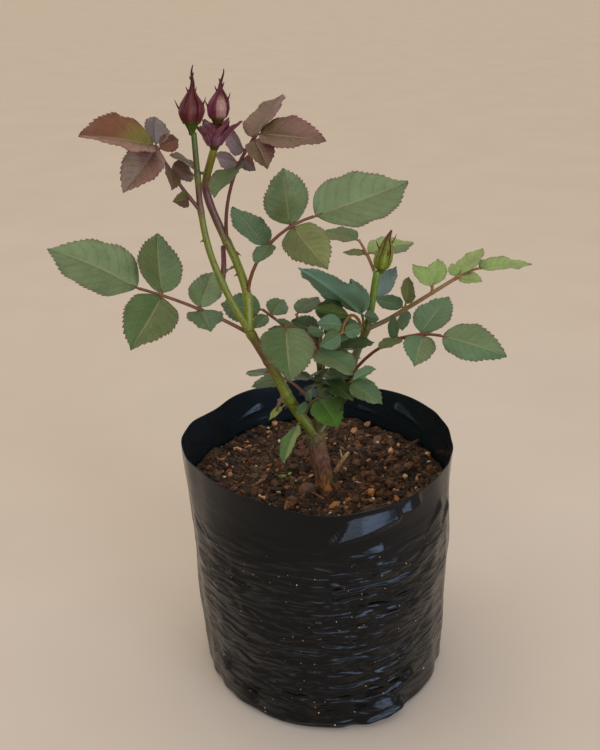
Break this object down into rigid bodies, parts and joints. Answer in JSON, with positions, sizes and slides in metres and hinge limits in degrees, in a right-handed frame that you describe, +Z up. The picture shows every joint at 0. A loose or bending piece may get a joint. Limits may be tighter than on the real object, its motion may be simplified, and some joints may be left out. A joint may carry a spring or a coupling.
{
  "type": "rose bush in nursery bag",
  "caption": "Young rose bush with bronze and green leaves and closed buds, growing in a black polythene nursery bag of compost.",
  "frame": {"origin": "centre of the flat underside of the nursery bag, on the surface it stands on", "axes": "+Z is up, +X is to the viewer's right, and -Y is the front of the plant; the branches spread along X"},
  "size_m": [0.2817, 0.1636, 0.381],
  "materials": {
    "film": "glossy black polythene film, finely wrinkled",
    "compost": "matt, moist, lumpy, with wood chips and small stones",
    "bark": "matt grey-brown bark, finely cracked",
    "stem": "smooth waxy green bark, satin",
    "young_stem": "smooth waxy red-brown skin, satin",
    "leaf_green": "leathery leaf, satin",
    "leaf_grey": "leathery leaf with a bloom, satin",
    "leaf_olive": "leathery leaf, satin",
    "leaf_bronze": "soft young leaf, satin",
    "leaf_fresh": "soft young leaf, satin",
    "bud": "waxy bud, satin",
    "green_bud": "waxy bud, satin"
  },
  "bodies": {
    "root": {"grow_bag": "film", "compost": "compost", "trunk": "bark", "stem_left": "stem", "shoot_left": "stem", "shoot_centre": "stem", "stem_right": "stem", "shoot_right": "young_stem", "stem_middle": "stem", "petiole_dark": "young_stem", "petiole_stub": "stem", "leaf_far_left": "leaf_green", "leaf_bronze_left": "leaf_bronze", "leaf_bronze_right": "leaf_bronze", "leaf_upper_right": "leaf_green", "leaf_right_top": "leaf_olive", "leaf_right_low": "leaf_grey", "leaf_grey_left": "leaf_grey", "leaf_arch": "leaf_olive", "leaf_front": "leaf_green", "leaf_centre_left": "leaf_green", "leaf_centre_back": "leaf_green", "leaf_front_right": "leaf_green", "leaf_low_right": "leaf_green", "leaf_low_front": "leaf_fresh", "leaf_low_left": "leaf_fresh", "leaf_shoot_middle": "leaf_fresh", "leaf_shoot_end": "leaf_fresh", "leaf_shoot_base": "leaf_grey", "leaf_grey_tip": "leaf_grey", "leaf_bract": "leaf_olive", "leaf_back_high": "leaf_green", "leaf_back_left": "leaf_green", "leaf_back_right": "leaf_green", "bud_first": "bud", "bud_bracts": "bud", "bud_second": "bud", "bud_green": "green_bud"}
  },
  "joints": []
}
